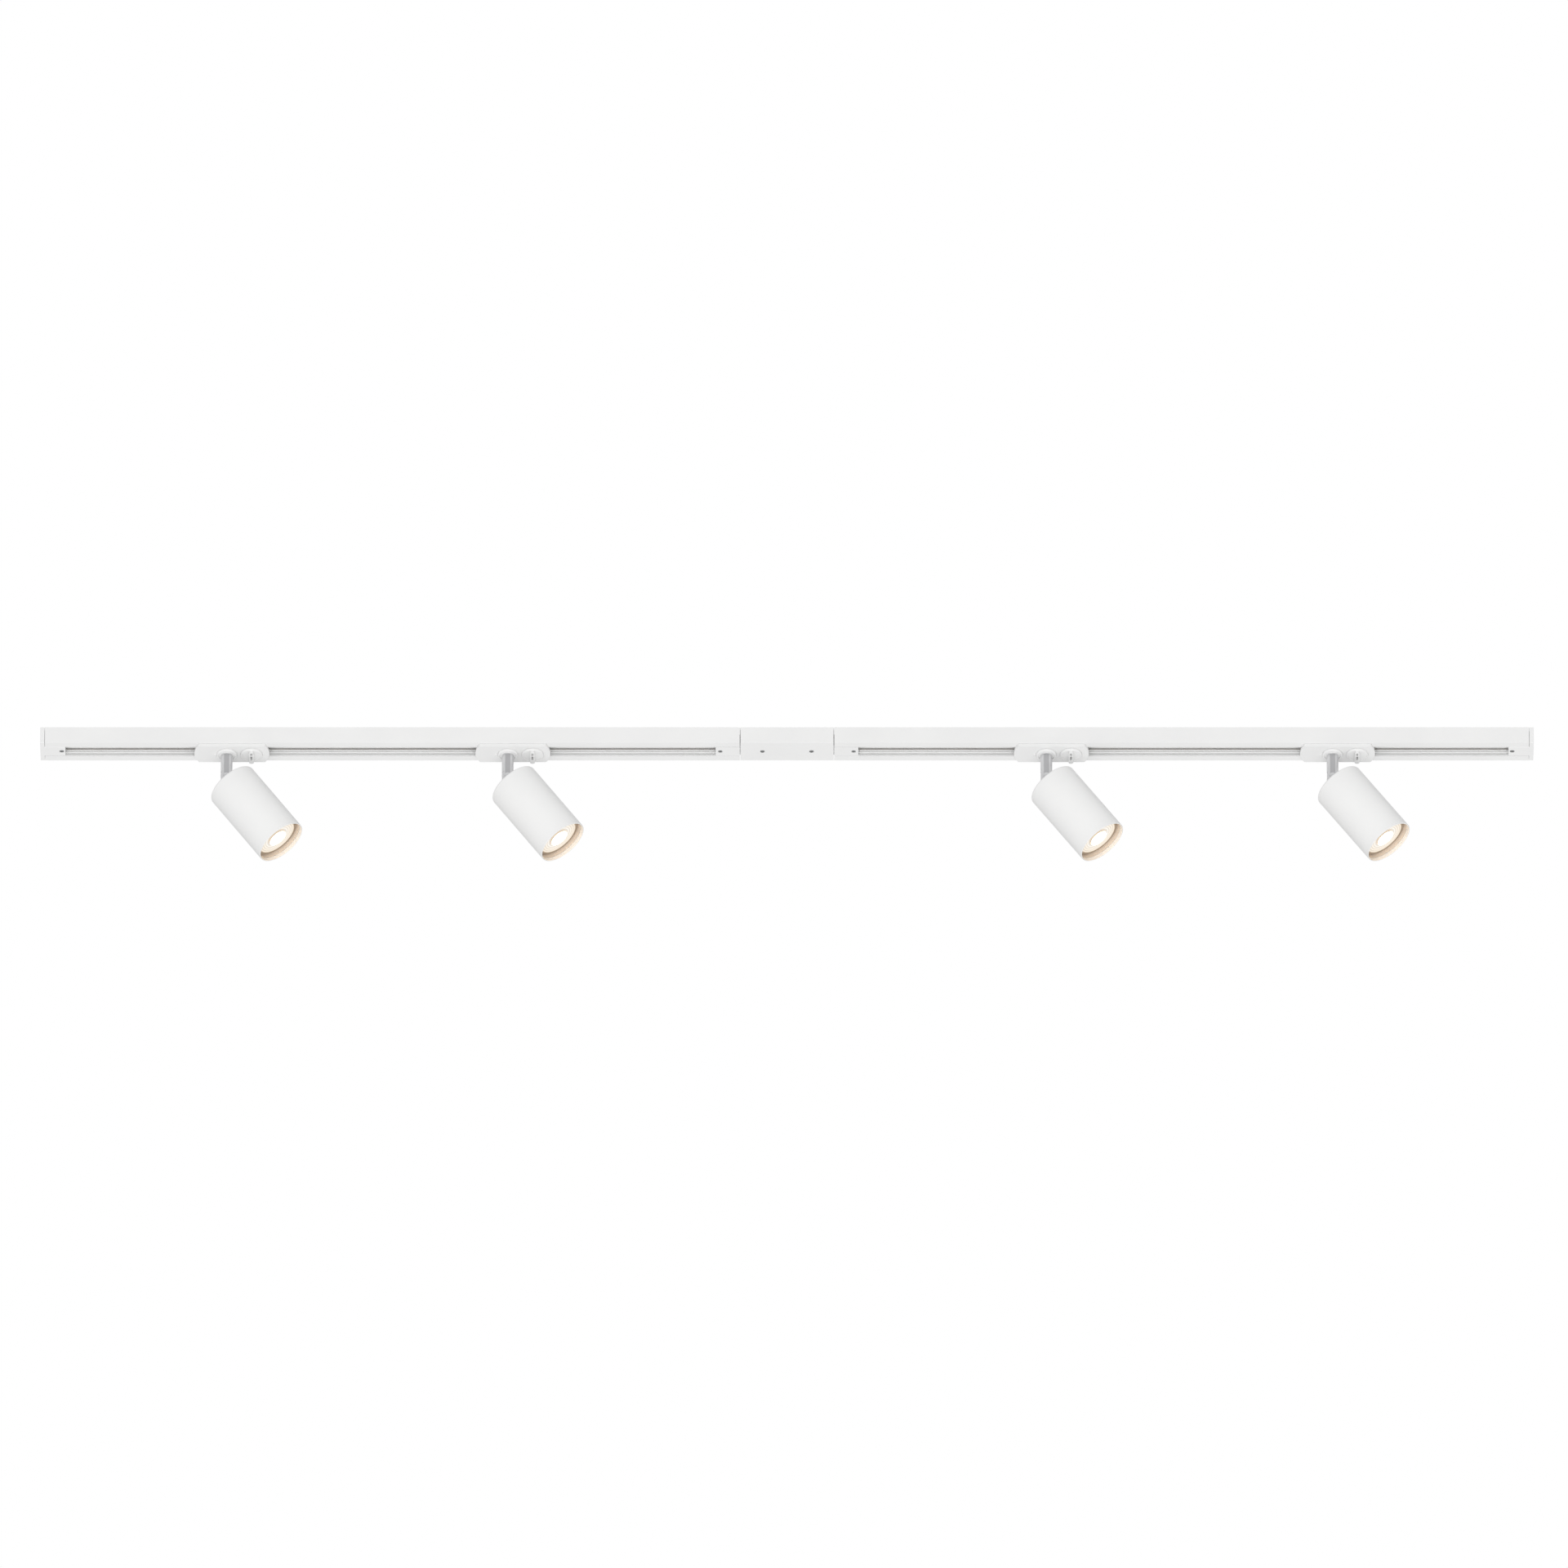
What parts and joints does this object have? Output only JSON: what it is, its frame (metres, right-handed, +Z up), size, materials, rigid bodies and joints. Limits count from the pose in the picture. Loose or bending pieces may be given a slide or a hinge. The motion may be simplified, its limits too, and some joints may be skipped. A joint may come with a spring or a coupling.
{
  "type": "track lighting fixture",
  "caption": "Surface-mounted straight lighting track with a central live feeder, end caps, and sliding, panning and tilting cylindrical spotlights.",
  "frame": {"origin": "middle of the feeder's top face, on the ceiling", "axes": "+X along the rails, the way the rest pose's heads lean; +Y to the back; +Z up into the ceiling"},
  "size_m": [1.612, 0.056, 0.153],
  "materials": {
    "white_paint": "satin",
    "white_plastic": "satin",
    "liner_plastic": "matte",
    "satin_metal": "satin",
    "zinc_steel": "satin",
    "copper": "satin",
    "ceramic": "matte",
    "lamp_shell": "satin",
    "lens_glass": "gloss"
  },
  "bodies": {
    "track": {"left_rail": "white_paint", "left_liner": "liner_plastic", "left_live_conductor": "copper", "left_neutral_conductor": "copper", "right_rail": "white_paint", "right_liner": "liner_plastic", "right_live_conductor": "copper", "right_neutral_conductor": "copper", "feeder_base": "white_plastic", "feeder_cover": "white_paint", "cover_screw_1": "zinc_steel", "cover_screw_2": "zinc_steel", "left_joint_screw": "zinc_steel", "right_joint_screw": "zinc_steel", "terminal_block": "ceramic", "left_end_cap": "white_plastic", "left_cap_screw": "zinc_steel", "right_end_cap": "white_plastic", "right_cap_screw": "zinc_steel"},
    "carriage_1": {"adapter_1": "white_plastic"},
    "lever_1": {"lock_lever_1": "white_plastic", "live_contact_1": "copper", "neutral_contact_1": "copper"},
    "swivel_1": {"swivel_fork_1": "satin_metal", "pivot_pin_1": "zinc_steel"},
    "head_1": {"housing_1": "white_paint", "lampholder_1": "ceramic", "lamp_1": "lamp_shell", "lens_1": "lens_glass"},
    "carriage_2": {"adapter_2": "white_plastic"},
    "lever_2": {"lock_lever_2": "white_plastic", "live_contact_2": "copper", "neutral_contact_2": "copper"},
    "swivel_2": {"swivel_fork_2": "satin_metal", "pivot_pin_2": "zinc_steel"},
    "head_2": {"housing_2": "white_paint", "lampholder_2": "ceramic", "lamp_2": "lamp_shell", "lens_2": "lens_glass"},
    "carriage_3": {"adapter_3": "white_plastic"},
    "lever_3": {"lock_lever_3": "white_plastic", "live_contact_3": "copper", "neutral_contact_3": "copper"},
    "swivel_3": {"swivel_fork_3": "satin_metal", "pivot_pin_3": "zinc_steel"},
    "head_3": {"housing_3": "white_paint", "lampholder_3": "ceramic", "lamp_3": "lamp_shell", "lens_3": "lens_glass"},
    "carriage_4": {"adapter_4": "white_plastic"},
    "lever_4": {"lock_lever_4": "white_plastic", "live_contact_4": "copper", "neutral_contact_4": "copper"},
    "swivel_4": {"swivel_fork_4": "satin_metal", "pivot_pin_4": "zinc_steel"},
    "head_4": {"housing_4": "white_paint", "lampholder_4": "ceramic", "lamp_4": "lamp_shell", "lens_4": "lens_glass"}
  },
  "joints": [
    {"name": "spot_1_slide", "type": "slide", "parent": "track", "child": "carriage_1", "axis": [1, 0, 0], "range_m": [-0.135, 0.11]},
    {"name": "spot_1_lock", "type": "hinge", "parent": "carriage_1", "child": "lever_1", "pos_m": [-0.5782, 0, -0.024], "axis": [0, 0, 1], "range_deg": [0, 90]},
    {"name": "spot_1_pan", "type": "hinge", "parent": "carriage_1", "child": "swivel_1", "pos_m": [-0.6048, 0, -0.024], "axis": [0, 0, 1], "range_deg": [-175, 175]},
    {"name": "spot_1_tilt", "type": "hinge", "parent": "swivel_1", "child": "head_1", "pos_m": [-0.6048, 0, -0.0544], "axis": [0, -1, 0], "range_deg": [-36, 39]},
    {"name": "spot_2_slide", "type": "slide", "parent": "track", "child": "carriage_2", "axis": [1, 0, 0], "range_m": [-0.11, 0.17]},
    {"name": "spot_2_lock", "type": "hinge", "parent": "carriage_2", "child": "lever_2", "pos_m": [-0.2748, 0, -0.024], "axis": [0, 0, 1], "range_deg": [0, 90]},
    {"name": "spot_2_pan", "type": "hinge", "parent": "carriage_2", "child": "swivel_2", "pos_m": [-0.3014, 0, -0.024], "axis": [0, 0, 1], "range_deg": [-175, 175]},
    {"name": "spot_2_tilt", "type": "hinge", "parent": "swivel_2", "child": "head_2", "pos_m": [-0.3014, 0, -0.0544], "axis": [0, -1, 0], "range_deg": [-36, 39]},
    {"name": "spot_3_slide", "type": "slide", "parent": "track", "child": "carriage_3", "axis": [1, 0, 0], "range_m": [-0.16, 0.113]},
    {"name": "spot_3_lock", "type": "hinge", "parent": "carriage_3", "child": "lever_3", "pos_m": [0.3066, 0, -0.024], "axis": [0, 0, 1], "range_deg": [0, 90]},
    {"name": "spot_3_pan", "type": "hinge", "parent": "carriage_3", "child": "swivel_3", "pos_m": [0.28, 0, -0.024], "axis": [0, 0, 1], "range_deg": [-175, 175]},
    {"name": "spot_3_tilt", "type": "hinge", "parent": "swivel_3", "child": "head_3", "pos_m": [0.28, 0, -0.0544], "axis": [0, -1, 0], "range_deg": [-36, 39]},
    {"name": "spot_4_slide", "type": "slide", "parent": "track", "child": "carriage_4", "axis": [1, 0, 0], "range_m": [-0.113, 0.135]},
    {"name": "spot_4_lock", "type": "hinge", "parent": "carriage_4", "child": "lever_4", "pos_m": [0.6155, 0, -0.024], "axis": [0, 0, 1], "range_deg": [0, 90]},
    {"name": "spot_4_pan", "type": "hinge", "parent": "carriage_4", "child": "swivel_4", "pos_m": [0.5889, 0, -0.024], "axis": [0, 0, 1], "range_deg": [-175, 175]},
    {"name": "spot_4_tilt", "type": "hinge", "parent": "swivel_4", "child": "head_4", "pos_m": [0.5889, 0, -0.0544], "axis": [0, -1, 0], "range_deg": [-36, 39]}
  ]
}
